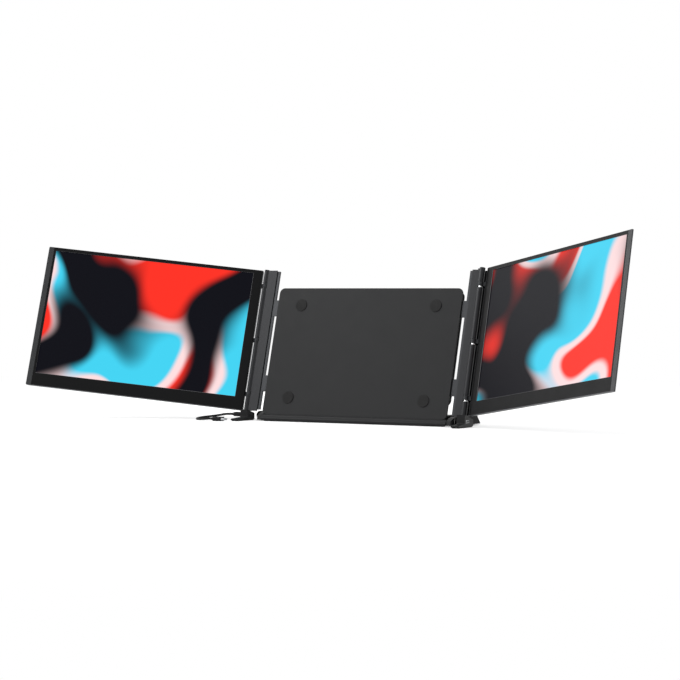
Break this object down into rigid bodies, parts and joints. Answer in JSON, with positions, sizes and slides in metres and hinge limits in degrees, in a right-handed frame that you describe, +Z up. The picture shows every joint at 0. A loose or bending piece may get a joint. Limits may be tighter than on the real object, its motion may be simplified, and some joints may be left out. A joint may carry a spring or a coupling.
{
  "type": "laptop screen extender",
  "caption": "Two slim flat displays on full-height hinge rails, on arms that slide out of a leaning frame with a fold-out stand, to widen a laptop's screen.",
  "frame": {"origin": "on the desk, at the middle of the rubber strip under the centre frame", "axes": "+X to the right as seen from the front, +Y to the back, +Z up"},
  "size_m": [0.9558, 0.2446, 0.2679],
  "materials": {
    "frame_black": "fine matt powder coat",
    "arm_metal": "dark satin steel",
    "rubber_black": "matt rubber",
    "steel": "bright turned steel",
    "washer_white": "smooth acetal",
    "rail_metal": "dark grey anodised",
    "block_metal": "dark grey anodised, bead blasted",
    "port_metal": "plated steel",
    "board_green": "solder mask",
    "shell_grey": "dark grey anodised",
    "bezel_black": "fine matt moulding",
    "strip_grey": "satin grey",
    "display_glass": "lit display behind an anti-glare film",
    "backlight_white": "diffuser sheet",
    "knuckle_metal": "satin steel",
    "button_black": "matt moulding",
    "stand_black": "matt black powder coat",
    "cord_black": "satin jacket",
    "plug_black": "matt moulding"
  },
  "bodies": {
    "frame": {"centre_plate": "frame_black", "rear_cover": "frame_black", "guide_bars_upper": "arm_metal", "guide_bars_lower": "arm_metal", "lid_pads_upper": "rubber_black", "lid_pads_lower": "rubber_black", "base_bar": "frame_black", "base_foot": "rubber_black", "cover_screws": "steel", "stand_bracket_left": "frame_black", "stand_bracket_right": "frame_black", "stand_pins": "steel", "stand_washers": "washer_white"},
    "stand": {"stand_cheek_left": "stand_black", "stand_cheek_right": "stand_black", "stand_deck": "stand_black", "stand_heel": "stand_black", "stand_foot": "rubber_black"},
    "left_arm": {"left_arm_plate": "arm_metal", "left_rail": "rail_metal", "left_hinge_shaft": "steel", "left_rail_cap": "rail_metal", "left_rail_screws": "steel", "left_port_block": "block_metal", "left_port_socket": "port_metal", "left_port_board": "board_green", "left_block_foot": "rubber_black", "cord_plug_port": "plug_black", "cord": "cord_black", "cord_plug_host": "plug_black"},
    "left_screen": {"left_back_shell": "shell_grey", "left_front_bezel": "bezel_black", "left_outer_strip": "strip_grey", "left_display": "display_glass", "left_backlight": "backlight_white", "left_driver_board": "board_green", "left_hinge_knuckles": "knuckle_metal", "left_shell_screws": "steel"},
    "left_power_button": {"left_power_button": "button_black"},
    "left_menu_button": {"left_menu_button": "button_black"},
    "right_arm": {"right_arm_plate": "arm_metal", "right_rail": "rail_metal", "right_hinge_shaft": "steel", "right_rail_cap": "rail_metal", "right_rail_screws": "steel", "right_port_block": "block_metal", "right_port_socket": "port_metal", "right_port_board": "board_green", "right_block_foot": "rubber_black"},
    "right_screen": {"right_back_shell": "shell_grey", "right_front_bezel": "bezel_black", "right_outer_strip": "strip_grey", "right_display": "display_glass", "right_backlight": "backlight_white", "right_driver_board": "board_green", "right_hinge_knuckles": "knuckle_metal", "right_shell_screws": "steel"},
    "right_power_button": {"right_power_button": "button_black"},
    "right_menu_button": {"right_menu_button": "button_black"}
  },
  "joints": [
    {"name": "left_arm_slide", "type": "slide", "parent": "frame", "child": "left_arm", "axis": [-1, 0, 0], "range_m": [-0.002, 0.022]},
    {"name": "right_arm_slide", "type": "slide", "parent": "frame", "child": "right_arm", "axis": [1, 0, 0], "range_m": [-0.002, 0.022]},
    {"name": "left_screen_hinge", "type": "hinge", "parent": "left_arm", "child": "left_screen", "pos_m": [-0.1785, 0.00261, 0.01454], "axis": [0, 0.2756, 0.9613], "range_deg": [-30, 156.7]},
    {"name": "right_screen_hinge", "type": "hinge", "parent": "right_arm", "child": "right_screen", "pos_m": [0.1785, -0.00489, 0.01669], "axis": [0, -0.2756, -0.9613], "range_deg": [-39, 149.2]},
    {"name": "stand_fold", "type": "hinge", "parent": "frame", "child": "stand", "pos_m": [0, 0.014, 0.0075], "axis": [1, 0, 0], "range_deg": [0, 74]},
    {"name": "left_power_press", "type": "slide", "parent": "left_screen", "child": "left_power_button", "axis": [0.3955, -0.8829, 0.2532], "range_m": [0, 0.0004], "stiffness_N_per_m": 1500, "springref_m": -0.0005},
    {"name": "left_menu_press", "type": "slide", "parent": "left_screen", "child": "left_menu_button", "axis": [0.3955, -0.8829, 0.2532], "range_m": [0, 0.0004], "stiffness_N_per_m": 1500, "springref_m": -0.0005},
    {"name": "right_power_press", "type": "slide", "parent": "right_screen", "child": "right_power_button", "axis": [-0.512, -0.8257, 0.2368], "range_m": [0, 0.0004], "stiffness_N_per_m": 1500, "springref_m": -0.0005},
    {"name": "right_menu_press", "type": "slide", "parent": "right_screen", "child": "right_menu_button", "axis": [-0.512, -0.8257, 0.2368], "range_m": [0, 0.0004], "stiffness_N_per_m": 1500, "springref_m": -0.0005}
  ]
}
